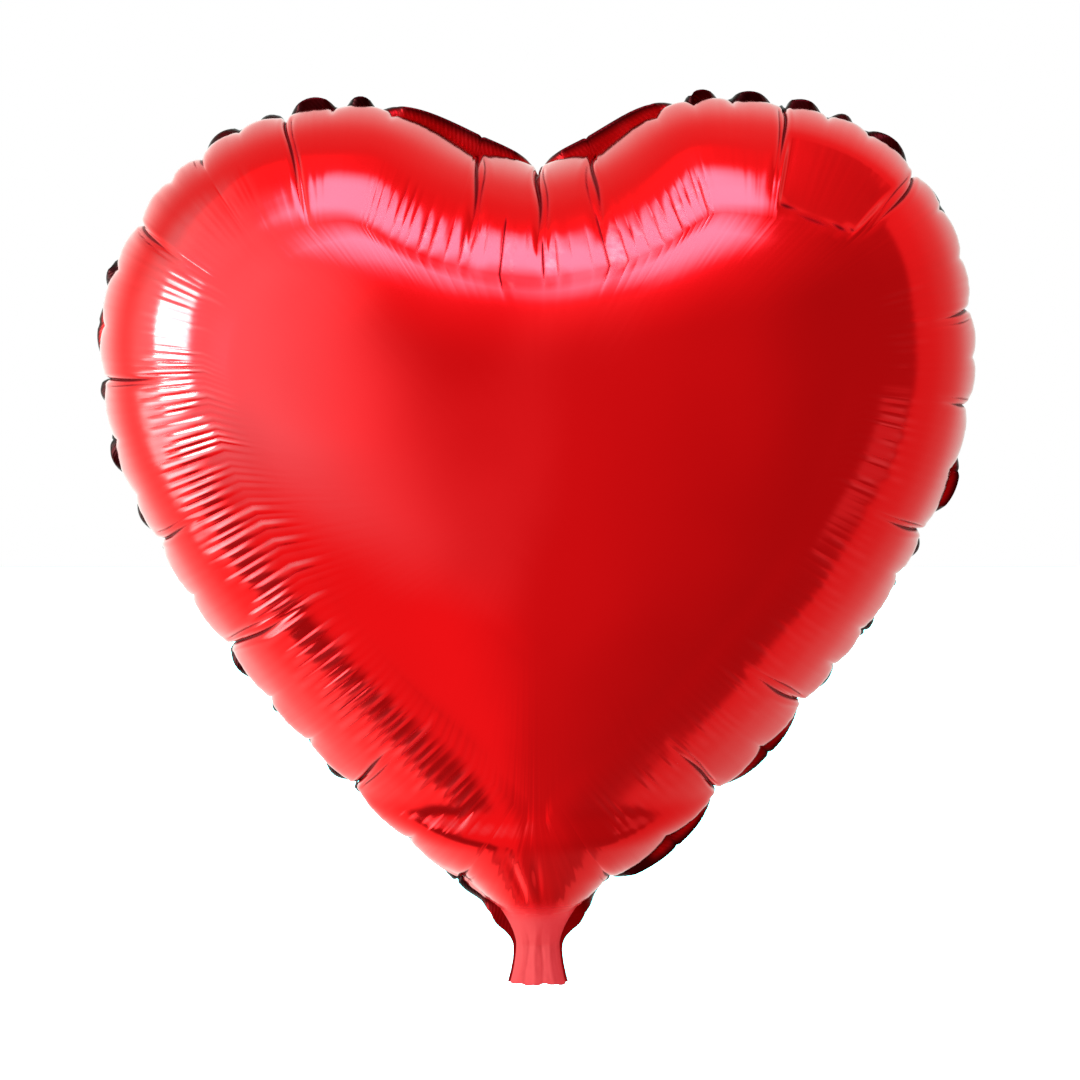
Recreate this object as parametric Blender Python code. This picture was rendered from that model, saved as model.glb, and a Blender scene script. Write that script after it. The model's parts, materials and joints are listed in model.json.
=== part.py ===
"""Heart-shaped foil balloon, inflated: two metallised films welded round the edge, with a filling tail and its valve.

Metres, +Z up, the front faces -Y. The origin is the middle of the tail's narrowest place, where a ribbon is tied.
"""

import math

import bpy
import bmesh
import numpy as np

# Heart, in the plane of its seam
HALF_WIDTH = 0.1900  # seam to the middle, at the widest place
WIDEST_Z = 0.2560
LOBE_TOP = (0.0870, 0.3680)
CLEFT_Z = 0.3410
ROOT = (0.0125, 0.0165)  # where the tail leaves the heart
ROOT_SLOPE = math.radians(35.0)  # of the lower sides, as they meet the tail
CLEFT_SLOPE = math.radians(8.0)

# Inflated shape
HALF_DEPTH = 0.0840  # seam plane to the crown of one film
ROLL = 0.0450  # width of the rolled side between the seam and the shoulder
TAPER = 0.1750  # height over which the depth grows from nothing at the tail root
FACE_CENTRE_Z = 0.2050
ROLL_RINGS = 7  # rings of faces over the rolled side
FACE_RINGS = (0.22, 0.46, 0.68)  # shares of the way in from the shoulder
CROWN_PATCH = 0.86  # the same, where the crown turns flat
FILM = 0.0006  # wall of a panel
GAP = 0.0003  # clearance between neighbouring pieces

# Pleats, as shares of the way from the cleft to the tail root, the same on both sides
PLEATS = (0.0, 0.055, 0.195, 0.325, 0.445, 0.570, 0.690, 0.790, 0.900, 1.0)
COLUMNS_PER_PLEAT = 4
NOTCH = 0.0035
NOTCH_REACH = 0.022  # distance over which a pleat fades

# Heat-sealed margin
MARGIN = 0.0050
MARGIN_THICK = 0.0006
WEB_TIP_Z = 0.0030  # the margin's webs reach down beside the tail to here

# Tail: height above the origin and half its width there, seams included
TAIL_STATIONS = ((0.0115, 0.0108), (0.0055, 0.0104), (0.0, 0.01025), (-0.0080, 0.0115), (-0.0170, 0.0140))
TAIL_HALF_DEPTH = 0.0036
TAIL_WALL = 0.0004
TAIL_SEAM = 0.0035
TAIL_BEVEL = 0.0022  # width of the wall's slope down to its seam
FOLD_Z = 0.0115  # the tail folds about X here

# Valve plies
LINER_WALL = 0.0004
LINER_BOTTOM = -0.0150
FLAP_HALF_WIDTH = 0.0070
FLAP_BOTTOM = 0.0215
FLAP_TOP = 0.0620
FLAP_WALL = 0.0004

DENSE = 720  # samples of each smooth outline


def bezier(p0, p1, p2, p3, count):
    t = np.linspace(0.0, 1.0, count, endpoint=False)
    p0, p1, p2, p3 = (complex(*p) for p in (p0, p1, p2, p3))
    return (1 - t) ** 3 * p0 + 3 * t * (1 - t) ** 2 * p1 + 3 * t * t * (1 - t) * p2 + t ** 3 * p3


def half_outline():
    """The right half of the heart from cleft to tail root: three cubic arcs, as x + iz."""
    top_x, top_z = LOBE_TOP
    root_x, root_z = ROOT
    cleft = bezier(
        (0.0, CLEFT_Z),
        (0.045 * math.cos(CLEFT_SLOPE), CLEFT_Z + 0.045 * math.sin(CLEFT_SLOPE)),
        (top_x - 0.035, top_z),
        LOBE_TOP,
        200,
    )
    lobe = bezier(LOBE_TOP, (top_x + 0.065, top_z), (HALF_WIDTH, WIDEST_Z + 0.059), (HALF_WIDTH, WIDEST_Z), 200)
    side = bezier(
        (HALF_WIDTH, WIDEST_Z),
        (HALF_WIDTH, WIDEST_Z - 0.080),
        (root_x + 0.060 * math.cos(ROOT_SLOPE), root_z + 0.060 * math.sin(ROOT_SLOPE)),
        ROOT,
        400,
    )
    return np.concatenate([cleft, lobe, side, [complex(*ROOT)]])


def along(curve):
    """Distance travelled at each point of an open curve."""
    return np.concatenate([[0.0], np.cumsum(np.abs(np.diff(curve)))])


def closed_outline():
    """The whole heart at even spacing, clockwise from the cleft, and the shares of its length at each column."""
    half = half_outline()
    travelled = along(half)
    whole = np.concatenate([half, [complex(0.0, ROOT[1])], -half[::-1].conj()])
    lengths = along(whole)
    at = np.linspace(0.0, lengths[-1], DENSE, endpoint=False)
    even = np.interp(at, lengths, whole.real) + 1j * np.interp(at, lengths, whole.imag)

    shares, within = [], []
    for first, last in zip(PLEATS[:-1], PLEATS[1:]):
        for step in range(COLUMNS_PER_PLEAT):
            part = step / COLUMNS_PER_PLEAT
            shares.append((first + (last - first) * part) * travelled[-1] / lengths[-1])
            within.append(part)
    root_share = travelled[-1] / lengths[-1]
    right = np.array(shares)
    columns = np.concatenate([right, [root_share, 0.5, 1.0 - root_share], 1.0 - right[:0:-1]])
    cusp = 1.0 - np.sin(math.pi * np.array(within))
    notch = np.concatenate([cusp, [0.0, 0.0, 0.0], cusp[:0:-1]])
    notch[0] = 1.0
    return even, columns, notch


def smoothed(curve, spread, length):
    """A closed curve blurred along itself by a bell of the given spread."""
    waves = np.fft.fftfreq(len(curve)) * len(curve)
    damping = np.exp(-0.5 * (2 * math.pi * waves * spread / length) ** 2)
    return np.fft.ifft(np.fft.fft(curve) * damping)


def pick(curve, columns):
    """A closed curve's points at the columns."""
    shares = np.arange(len(curve) + 1) / len(curve)
    looped = np.append(curve, curve[0])
    return np.interp(columns, shares, looped.real) + 1j * np.interp(columns, shares, looped.imag)


def depth_at(share, ring):
    """How far the film stands off the seam plane: upright at the seam, level at the crown, thinner to the tail."""
    rise = np.clip((ring.imag - ROOT[1]) / TAPER, 0.0, 1.0)
    return HALF_DEPTH * (1.0 - (1.0 - share) ** 2.6) ** (1.0 / 2.1) * np.sin(math.pi / 2 * rise) ** 0.6


def panel_rings():
    """Rings of one film from seam to crown, each as (x + iz per column, depth per column)."""
    outline, columns, notch = closed_outline()
    length = np.abs(np.diff(np.append(outline, outline[0]))).sum()
    tangent = np.roll(outline, -1) - np.roll(outline, 1)
    inward = smoothed(tangent / np.abs(tangent) * -1j, 0.022, length)
    centre = complex(0.0, FACE_CENTRE_Z)
    shoulder = outline + inward * ROLL
    reach = pick(np.abs(shoulder - centre), columns).real + ROLL
    rings = []
    for step in range(ROLL_RINGS):
        distance = ROLL * (step / (ROLL_RINGS - 1)) ** 2.2
        ring = pick(outline + inward * distance, columns)
        ring = ring + pick(inward, columns) * notch * NOTCH * math.exp(-distance / NOTCH_REACH)
        rings.append((ring, depth_at(distance / reach, ring)))
    for share in FACE_RINGS:
        ring = centre + (1.0 - share) * (pick(smoothed(shoulder, 0.06 * share, length), columns) - centre)
        depth = depth_at((ROLL + (reach - ROLL) * share) / reach, ring)
        rings.append((ring, depth))
    rings.append((centre + (1.0 - CROWN_PATCH) * (rings[-1][0] - centre) / (1.0 - FACE_RINGS[-1]), reach * 0 + HALF_DEPTH))
    return rings, centre


def material(name, colour, roughness, metallic, alpha=1.0):
    made = bpy.data.materials.new(name)
    made.use_nodes = True
    shader = made.node_tree.nodes["Principled BSDF"]
    shader.inputs["Base Color"].default_value = (*colour, 1.0)
    shader.inputs["Roughness"].default_value = roughness
    shader.inputs["Metallic"].default_value = metallic
    shader.inputs["Alpha"].default_value = alpha
    return made


def add_object(name, mesh, finish, smooth=False):
    mesh.materials.append(finish)
    if smooth:
        mesh.shade_smooth()
        mesh.set_sharp_from_angle(angle=math.radians(50.0))
    made = bpy.data.objects.new(name, mesh)
    bpy.context.scene.collection.objects.link(made)
    return made


def recalculated(mesh):
    """The same closed mesh with every face turned outwards."""
    shape = bmesh.new()
    shape.from_mesh(mesh)
    bmesh.ops.recalc_face_normals(shape, faces=shape.faces)
    shape.to_mesh(mesh)
    shape.free()
    return mesh


def skin(rings, centre, crown, side, start):
    """Points and faces of one surface of a film, from its rim to the middle of its crown."""
    count = len(rings[0][0])
    points = []
    for ring, depth in rings:
        points += [(p.real, side * (d + GAP / 2), p.imag) for p, d in zip(ring, depth)]
    points.append((centre.real, side * (crown + GAP / 2), centre.imag))
    faces = []
    for row in range(len(rings) - 1):
        for column in range(count):
            after = (column + 1) % count
            a, b = start + row * count + column, start + row * count + after
            faces.append((a, b, b + count, a + count))
    last = start + (len(rings) - 1) * count
    middle = start + len(points) - 1
    faces += [(last + c, last + (c + 1) % count, middle) for c in range(count)]
    return points, faces


def add_panel(name, side, finish):
    """One film as a bowl open at the seam plane; side is -1 for the front and +1 for the rear."""
    rings, centre = panel_rings()
    count = len(rings[0][0])
    inside = []
    for step, (ring, depth) in enumerate(rings):
        inset = FILM * (1.0 - step / len(rings)) * (centre - ring) / np.abs(centre - ring)
        inside.append((ring + inset, depth * depth / (depth + FILM)))
    points, faces = skin(rings, centre, HALF_DEPTH, side, 0)
    behind = len(points)
    more_points, more_faces = skin(inside, centre, HALF_DEPTH ** 2 / (HALF_DEPTH + FILM), side, behind)
    faces += [face[::-1] for face in more_faces]
    for column in range(count):
        after = (column + 1) % count
        faces.append((after, column, behind + column, behind + after))
    mesh = bpy.data.meshes.new(name)
    mesh.from_pydata(points + more_points, [], faces)
    return add_object(name, recalculated(mesh), finish, smooth=True)


def slab(name, near, far, finish, origin=(0.0, 0.0, 0.0)):
    """A closed solid between two grids of points, each rows x columns x 3; origin is where its joint turns."""
    rows, columns = near.shape[:2]
    points = np.concatenate([near.reshape(-1, 3), far.reshape(-1, 3)]) - np.array(origin)
    layer = rows * columns
    faces = []
    for row in range(rows - 1):
        for column in range(columns - 1):
            a = row * columns + column
            cell = (a, a + 1, a + columns + 1, a + columns)
            faces.append(cell)
            faces.append(tuple(i + layer for i in reversed(cell)))
    rim = [c for c in range(columns)]
    rim += [(r + 1) * columns - 1 for r in range(1, rows)]
    rim += [(rows - 1) * columns + c for c in range(columns - 2, -1, -1)]
    rim += [r * columns for r in range(rows - 2, 0, -1)]
    for here, after in zip(rim, rim[1:] + rim[:1]):
        faces.append((after, here, here + layer, after + layer))
    mesh = bpy.data.meshes.new(name)
    mesh.from_pydata(points.tolist(), [], faces)
    made = add_object(name, recalculated(mesh), finish)
    made.location = origin
    return made


def add_margin(finish):
    """The welded edge: a flat ring round the heart, with a web down each side of the tail."""
    outline, columns, notch = closed_outline()
    length = np.abs(np.diff(np.append(outline, outline[0]))).sum()
    tangent = np.roll(outline, -1) - np.roll(outline, 1)
    inward = pick(smoothed(tangent / np.abs(tangent) * -1j, 0.022, length), columns)
    edge = pick(outline, columns) + inward * notch * NOTCH
    normal = inward / np.abs(inward)
    sides = len(PLEATS) - 1
    corner = sides * COLUMNS_PER_PLEAT
    inner = edge - normal * GAP * 1.5
    outer = edge - normal * MARGIN
    root_z = ROOT[1] - GAP
    web_x = TAIL_STATIONS[0][1] + GAP * 1.5
    outer[corner - 1] = complex(0.0215, 0.0145)
    right_inner = [complex(ROOT[0], root_z), complex(web_x + 0.0005, root_z), complex(web_x, root_z)]
    right_outer = [complex(0.0145, WEB_TIP_Z + 0.0010), complex(web_x + 0.0005, WEB_TIP_Z), complex(web_x, root_z - 0.0006)]
    middle = [complex(0.0, root_z)], [complex(0.0, root_z - 0.0006)]
    half_inner = list(inner[:corner]) + right_inner
    half_outer = list(outer[:corner]) + right_outer
    ring_inner = half_inner + middle[0] + [complex(-p.real, p.imag) for p in half_inner[:0:-1]]
    ring_outer = half_outer + middle[1] + [complex(-p.real, p.imag) for p in half_outer[:0:-1]]

    count = len(ring_inner)
    half = MARGIN_THICK / 2
    points = []
    for ring, off in ((ring_inner, -half), (ring_outer, -half), (ring_outer, half), (ring_inner, half)):
        points += [(p.real, off, p.imag) for p in ring]
    faces = []
    for band in range(4):
        for column in range(count):
            after = (column + 1) % count
            here, there = band * count, (band + 1) % 4 * count
            faces.append((here + column, here + after, there + after, there + column))
    mesh = bpy.data.meshes.new("seam_flange")
    mesh.from_pydata(points, [], faces)
    return add_object("seam_flange", recalculated(mesh), finish)


def tail_wall_grids(side):
    """Outer and inner grids of one tail wall: flat in the middle, sloping to the seams."""
    rows_out, rows_in = [], []
    for z, half_width in TAIL_STATIONS:
        half = half_width - TAIL_SEAM - GAP
        flat = half - TAIL_BEVEL
        edge = 2 * GAP + TAIL_WALL / 2
        xs = (-half, -flat, flat, half)
        depths = (edge, TAIL_HALF_DEPTH, TAIL_HALF_DEPTH, edge)
        rows_out.append([(x, side * d, z) for x, d in zip(xs, depths)])
        rows_in.append([(x * 0.99, side * (d - TAIL_WALL), z) for x, d in zip(xs, depths)])
    return np.array(rows_out), np.array(rows_in)


def flat_grids(stations, near, far):
    """Grids of a flat strip; stations are (z, left x, right x), near and far its two faces in Y."""
    grids = []
    for y in (near, far):
        grids.append(np.array([[(left, y, z), (right, y, z)] for z, left, right in stations]))
    return grids


def add_tail(film, seam, ply):
    fold = bpy.data.objects.new("tail_fold", None)
    fold.location = (0.0, 0.0, FOLD_Z)
    bpy.context.scene.collection.objects.link(fold)
    pieces = []
    for name, side in (("front", -1), ("rear", 1)):
        pieces.append(slab("tail_" + name, *tail_wall_grids(side), film))
        face = TAIL_HALF_DEPTH - TAIL_WALL - GAP
        stations = []
        for z, half_width in TAIL_STATIONS:
            half = half_width - TAIL_SEAM - GAP - TAIL_BEVEL - GAP
            stations.append((max(z, LINER_BOTTOM), -half, half))
        grids = flat_grids(stations, side * face, side * (face - LINER_WALL))
        pieces.append(slab(f"valve_{name}_liner", *grids, ply))
    for name, side in (("left", -1), ("right", 1)):
        stations = []
        for z, half_width in TAIL_STATIONS:
            ends = sorted((side * (half_width - TAIL_SEAM), side * half_width))
            stations.append((z, *ends))
        grids = flat_grids(stations, -MARGIN_THICK / 2, MARGIN_THICK / 2)
        pieces.append(slab("tail_seam_" + name, *grids, seam))
    for piece in pieces:
        piece.parent = fold
        piece.matrix_parent_inverse = fold.matrix_basis.inverted()
    return pieces


def add_flap(name, side, ply):
    """The free upper end of one valve ply, closed against the other; its origin is where it bends."""
    near = side * GAP / 2
    far = side * (GAP / 2 + FLAP_WALL)
    middle = (FLAP_BOTTOM + FLAP_TOP) / 2
    stations = [(z, -FLAP_HALF_WIDTH, FLAP_HALF_WIDTH) for z in (FLAP_BOTTOM, middle, FLAP_TOP)]
    origin = (0.0, far, FLAP_BOTTOM)
    return slab(name, *flat_grids(stations, near, far), ply, origin)


def main():
    for thing in list(bpy.data.objects):
        bpy.data.objects.remove(thing, do_unlink=True)
    film = material("red_metallised_film", (0.70, 0.012, 0.010), 0.20, 1.0)
    seam = material("welded_margin", (0.32, 0.006, 0.008), 0.35, 1.0)
    ply = material("clear_valve_film", (0.90, 0.90, 0.88), 0.30, 0.0, 0.45)
    add_panel("front_panel", -1, film)
    add_panel("rear_panel", 1, film)
    add_margin(seam)
    add_tail(film, seam, ply)
    add_flap("valve_front_flap", -1, ply)
    add_flap("valve_rear_flap", 1, ply)


main()
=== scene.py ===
# Heart-shaped foil balloon: red metallised films, their welded margin and the valve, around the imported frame
import json
import math

import bpy
import numpy as np
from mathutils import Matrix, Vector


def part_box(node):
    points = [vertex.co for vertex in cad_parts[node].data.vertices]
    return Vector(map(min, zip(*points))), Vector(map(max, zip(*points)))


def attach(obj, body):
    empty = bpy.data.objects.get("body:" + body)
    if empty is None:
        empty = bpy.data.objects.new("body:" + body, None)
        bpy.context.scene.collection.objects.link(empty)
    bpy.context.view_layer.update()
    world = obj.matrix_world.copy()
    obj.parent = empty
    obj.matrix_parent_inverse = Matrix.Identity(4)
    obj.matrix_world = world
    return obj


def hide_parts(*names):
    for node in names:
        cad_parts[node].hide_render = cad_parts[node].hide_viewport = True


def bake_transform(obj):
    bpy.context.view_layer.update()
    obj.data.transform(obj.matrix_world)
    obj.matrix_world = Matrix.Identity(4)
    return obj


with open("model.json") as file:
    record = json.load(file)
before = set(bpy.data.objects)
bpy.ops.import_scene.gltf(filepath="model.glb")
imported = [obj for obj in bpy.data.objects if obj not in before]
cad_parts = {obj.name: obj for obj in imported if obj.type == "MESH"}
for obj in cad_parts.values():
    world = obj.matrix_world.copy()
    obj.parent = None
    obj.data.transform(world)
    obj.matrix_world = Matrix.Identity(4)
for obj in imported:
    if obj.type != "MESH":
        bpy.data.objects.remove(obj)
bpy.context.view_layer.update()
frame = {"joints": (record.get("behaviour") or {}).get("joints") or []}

panelLow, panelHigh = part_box("front_panel")
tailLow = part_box("tail_front")[0]
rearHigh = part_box("rear_panel")[1]
foldZ = next(j["pos_m"][2] for j in frame["joints"] if j["name"] == "tail_fold")
mm = 0.001
turn = 2 * math.pi
print("frame loaded")


# Small helpers for arrays

def smoothStep(low, high, value):  # 0 below low, 1 above high, 3t^2 - 2t^3 between
    t = np.clip((value - low) / (high - low), 0.0, 1.0)
    return t * t * (3.0 - 2.0 * t)


def bell(value, width):  # exp(-(value / width)^2)
    return np.exp(-(value / width) ** 2)


def wander(places, spacing, seed):  # smooth random line through one random height per spacing, from -1 to 1
    rng = np.random.default_rng(seed)
    count = int(np.ptp(places) / spacing) + 4
    heights = rng.uniform(-1.0, 1.0, count)
    t = (places - places.min()) / spacing
    k = np.floor(t).astype(int)
    part = t - k
    part = part * part * (3.0 - 2.0 * part)
    return heights[k] * (1.0 - part) + heights[k + 1] * part


def lumps(x, z, size, seed, waves=9):  # sum of a few flat waves of about that size in random directions
    rng = np.random.default_rng(seed)
    total = np.zeros_like(x)
    for _ in range(waves):
        heading, stretch, phase = rng.uniform(0, turn), rng.uniform(0.7, 1.5), rng.uniform(0, turn)
        along = x * math.cos(heading) + z * math.sin(heading)
        total += np.sin(turn * along / (size * stretch) + phase)
    return total / math.sqrt(waves)


def plateau(a, b, c, d, value):  # rises from 0 to 1 between a and b, and falls back between c and d
    return smoothStep(a, b, value) * (1 - smoothStep(c, d, value))


def sampled(curve, places, at):  # a curve's points at some distances along it, straight between its samples
    return np.interp(at, places, curve.real) + 1j * np.interp(at, places, curve.imag)


# The heart's outline in the plane of its seam: four cubic curves a side, the two sides a little different
heart = {
    "rootHalf": 17.0 * mm,     # half the width where the tail leaves
    "root": panelLow.z,
    "cleftDrop": 26 * mm,      # cleft below the CAD panel's highest point
    "cleftSlope": math.radians(8),
    "cleftReach": 45 * mm,     # handle of the curve at the cleft
    "rootSlope": math.radians(38),   # how steeply the lower side meets the tail
    "rootReach": 5 * mm,
    "kneeReach": 6 * mm,       # handle on the tail's side of the knee
    "arcSamples": (900, 900, 1400, 200),
    "samples": 4096,           # round the whole outline, evenly spaced
}
rightHalf = {
    "halfWidth": panelHigh.x + 0.1 * mm,
    "widestRise": 241 * mm,    # widest place above the tail's root
    "rise": 1.9 * mm,          # lobe's top above the CAD panel's highest point
    "lobeX": 78 * mm,          # highest point of the lobe
    "lobeIn": 38 * mm,         # handles of the curves, longer for a fuller side
    "lobeOut": 76 * mm,
    "up": 70 * mm,
    "down": 88 * mm,
    "knee": (34 * mm, 13.2 * mm),   # last bend before the tail: out from the middle, up from the root
    "kneeReach": 55 * mm,
    "kneeSlope": math.radians(33),
}
leftHalf = {
    "halfWidth": panelHigh.x + 0.4 * mm,
    "widestRise": 243 * mm,
    "rise": -1.2 * mm,
    "lobeX": 81 * mm,
    "lobeIn": 32 * mm,
    "lobeOut": 67 * mm,
    "up": 54 * mm,
    "down": 94 * mm,
    "knee": (34 * mm, 10.2 * mm),
    "kneeReach": 48 * mm,
    "kneeSlope": math.radians(38),
}


def cubicArc(p0, p1, p2, p3, count):  # a cubic curve through four control points, as x + iz
    t = np.linspace(0.0, 1.0, count, endpoint=False)
    p0, p1, p2, p3 = (complex(*p) for p in (p0, p1, p2, p3))
    return (1 - t) ** 3 * p0 + 3 * t * (1 - t) ** 2 * p1 + 3 * t * t * (1 - t) * p2 + t ** 3 * p3


def arm(length, angle):  # a handle's run and rise
    return length * math.cos(angle), length * math.sin(angle)


def halfOutline(h):  # cleft, lobe, lower side and the short bend into the tail, as if on the right
    cleft = (0.0, panelHigh.z - heart["cleftDrop"])
    lobe = (h["lobeX"], panelHigh.z + h["rise"])
    widest = (h["halfWidth"], heart["root"] + h["widestRise"])
    knee = (h["knee"][0], heart["root"] + h["knee"][1])
    root = (heart["rootHalf"], heart["root"])
    run, rise = arm(heart["cleftReach"], heart["cleftSlope"])
    out, up = arm(h["kneeReach"], h["kneeSlope"])
    back, down = arm(heart["kneeReach"], h["kneeSlope"])
    side, steep = arm(heart["rootReach"], heart["rootSlope"])
    counts = heart["arcSamples"]
    parts = [
        cubicArc(cleft, (run, cleft[1] + rise), (lobe[0] - h["lobeIn"], lobe[1]), lobe, counts[0]),
        cubicArc(lobe, (lobe[0] + h["lobeOut"], lobe[1]), (widest[0], widest[1] + h["up"]), widest, counts[1]),
        cubicArc(widest, (widest[0], widest[1] - h["down"]), (knee[0] + out, knee[1] + up), knee, counts[2]),
        cubicArc(knee, (knee[0] - back, knee[1] - down), (root[0] + side, root[1] + steep), root, counts[3]),
        [complex(*root)],
    ]
    return np.concatenate(parts)


rightCurve = halfOutline(rightHalf)
leftCurve = -halfOutline(leftHalf).conj()
rightLength = np.abs(np.diff(rightCurve)).sum()
leftLength = np.abs(np.diff(leftCurve)).sum()
halfLength = (rightLength + leftLength) / 2
wholeCurve = np.concatenate([rightCurve, [complex(0.0, heart["root"])], leftCurve[::-1]])
wholePlaces = np.concatenate([[0.0], np.cumsum(np.abs(np.diff(wholeCurve)))])
wholeLength = wholePlaces[-1]
evenPlaces = np.linspace(0.0, wholeLength, heart["samples"], endpoint=False)
outline = sampled(wholeCurve, wholePlaces, evenPlaces)


def blurred(curve, spread):  # a closed curve smoothed along itself by a bell of that spread
    waves = np.fft.fftfreq(len(curve)) * len(curve)
    return np.fft.ifft(np.fft.fft(curve) * np.exp(-0.5 * (2 * math.pi * waves * spread / wholeLength) ** 2))


def pick(curve, places):  # a closed curve's points at these distances along it
    return sampled(np.append(curve, curve[0]), np.append(evenPlaces, wholeLength), places)


tangent = np.roll(outline, -1) - np.roll(outline, 1)
inward = blurred(tangent / np.abs(tangent) * -1j, 22 * mm)


# Pleats: where the seam pulls in and folds the film across its rim

pleats = [  # share, depth in mm, length in mm, slant in mm over the length
    (-0.962, 1.0, 26, 0), (-0.850, 2.4, 50, 3), (-0.703, 2.8, 74, -4), (-0.606, 2.4, 58, 2),
    (-0.472, 2.4, 74, 0), (-0.345, 2.4, 62, -3), (-0.276, 1.0, 30, 0), (-0.203, 2.6, 74, 2),
    (-0.048, 2.8, 76, 7), (0.0, 3.0, 88, 0), (0.043, 2.6, 76, -6), (0.198, 2.6, 66, 0),
    (0.312, 2.4, 66, 4), (0.425, 2.0, 48, 2), (0.499, 1.6, 44, 0), (0.602, 2.4, 58, 2),
    (0.763, 2.6, 66, 3), (0.857, 2.4, 60, -2), (0.965, 1.1, 26, 0),
]
smallPleats = [-0.91, -0.80, -0.755, -0.655, -0.565, -0.52, -0.43, -0.385, -0.305, -0.24, -0.165, -0.118,
               0.097, 0.128, 0.158, 0.232, 0.266, 0.345, 0.385, 0.462, 0.55, 0.64, 0.69, 0.725, 0.81, 0.91]
pleatStops = np.array([p[0] for p in pleats])
allStops = np.concatenate([pleatStops, smallPleats])


# Columns round the seam; a column's share runs from -1 and 1 at the tail's corners to 0 at the cleft

columnsEachSide = 1128
columnsAtRoot = 48
columnCount = 2 * columnsEachSide + columnsAtRoot
rightCorner = columnsEachSide

# Fine ridges: shares from and to, strength, distances from and to in mm, and 0 for waves to 1 for lines
gathered = [
    (-0.94, -0.72, 1.00, 20, 48, 0.15),
    (-0.72, -0.60, 1.00, 21, 56, 0.10),
    (-0.60, -0.475, 1.00, 18, 53, 0.10),
    (-0.475, -0.440, 0.95, 20, 50, 0.10),
    (-0.440, -0.352, 0.22, 20, 50, 0.10),
    (-0.345, -0.24, 0.16, 18, 46, 0.90),
    (-0.120, 0.125, 0.90, 25, 55, 1.00),
    (0.39, 0.48, 0.45, 24, 40, 0.40),
    (0.50, 0.60, 0.70, 24, 46, 0.30),
    (0.61, 0.94, 0.60, 18, 40, 0.50),
]


def gatherAt(share):  # how strongly the film is gathered there: the highest of the zones' plateaus
    total = np.zeros_like(share)
    for start, end, strength, *_ in gathered:
        total = np.maximum(total, strength * plateau(start - 0.02, start + 0.02, end - 0.02, end + 0.02, share))
    return total


def sidePlaces(sign):  # columns stand closer together where the film is gathered
    share = np.linspace(0.0, 1.0, 2001)
    closeness = 1.0 + 0.8 * gatherAt(sign * share)
    for at, *_ in pleats:
        closeness += 2.2 * bell((sign * share - at) * halfLength, 2.6 * mm)
    counted = np.concatenate([[0.0], np.cumsum((closeness[1:] + closeness[:-1]) / 2)])
    counted /= counted[-1]
    return np.interp(np.arange(columnsEachSide + 1) / columnsEachSide, counted, share)


rightShares = sidePlaces(1)
leftShares = sidePlaces(-1)
rootSteps = np.arange(1, columnsAtRoot) / columnsAtRoot
rootWidth = 2 * heart["rootHalf"]
rightPart, leftPart = rightShares * rightLength, wholeLength - leftShares[:0:-1] * leftLength
columnPlaces = np.concatenate([rightPart, rightLength + rootSteps * rootWidth, leftPart])
past = rootSteps * rootWidth / halfLength
rootShares = np.where(rootSteps < 0.5, 1 + past, past - 1 - rootWidth / halfLength)
columnShares = np.concatenate([rightShares, rootShares, -leftShares[:0:-1]])


fold = {
    "pull": 2.3 * mm, "reach": 30 * mm, "fade": 1.4,   # the seam's pull at a pleat
    "smallPull": 0.9 * mm, "smallReach": 9 * mm, "smallFade": 1.3,
    "wide": 0.75 * mm, "lip": 0.16, "begin": -9 * mm,   # the groove along a pleat
}


def petals(share, stops, roundness=0.42):  # sin^roundness between stops: 0 at each, 1 half way, as film bulges
    stops = np.sort(np.concatenate([[-1.3], stops, [1.3]]))
    k = np.clip(np.searchsorted(stops, share) - 1, 0, len(stops) - 2)
    part = np.clip((share - stops[k]) / (stops[k + 1] - stops[k]), 0, 1)
    return np.sin(math.pi * part) ** roundness


def pleatField(share, away, seed):  # heights: the seam's pull at the pleats, plus a narrow groove along each; also a painted shade line down each groove
    rng = np.random.default_rng(seed)
    pull = fold["pull"] * (1 - petals(share, pleatStops)) * np.exp(-(away / fold["reach"]) ** fold["fade"])
    smallPull = fold["smallPull"] * (1 - petals(share, allStops))
    height = -pull - smallPull * np.exp(-(away / fold["smallReach"]) ** fold["smallFade"])
    grooveShade = np.zeros_like(away)

    def groove(at, deep, start, long, slant, wobble, paintedShade):  # exp(-off / wide), a lip each side, and painted shade down the valley
        drift = slant * (away / long) + wobble * np.sin(away / (8 * mm) + rng.uniform(0, 6))
        off = np.abs((share - at) * halfLength - drift)
        wide = fold["wide"] * (0.8 + 1.1 * away / long)
        valley = np.exp(-off / wide)
        begun = smoothStep(start - 12 * mm, start, away)
        fade = begun * np.clip(1 - away / long, 0, 1) ** 0.7
        lip = fold["lip"] * fade * bell(off - 3.0 * wide, 1.6 * wide)
        seen = begun * np.clip((1 - away / long) * 2.2, 0, 1) * valley
        np.add(height, deep * (lip - fade * valley), out=height)
        # Painted shade: the valley of each groove is darkened through this mask
        np.maximum(grooveShade, paintedShade * seen, out=grooveShade)

    for at, deep, long, slant in pleats:
        deep, long, slant = deep * mm * rng.uniform(0.9, 1.1), long * mm * rng.uniform(0.92, 1.08), slant * mm
        wobble = rng.uniform(0.2, 0.7) * mm
        groove(at, deep, fold["begin"], long, slant, wobble, 1.0)
        # A second, shallower line beside it, starting further in
        beside = rng.choice([-1, 1]) * rng.uniform(2.4, 4.2) * mm / halfLength
        groove(at + beside, 0.45 * deep, rng.uniform(0.25, 0.4) * long, 1.1 * long, slant, wobble, 0.6)
    for at in smallPleats:
        groove(at, rng.uniform(0.4, 0.9) * mm, fold["begin"], rng.uniform(9, 22) * mm, 0.0, 0.3 * mm, 0.5)
    return height, grooveShade


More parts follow.
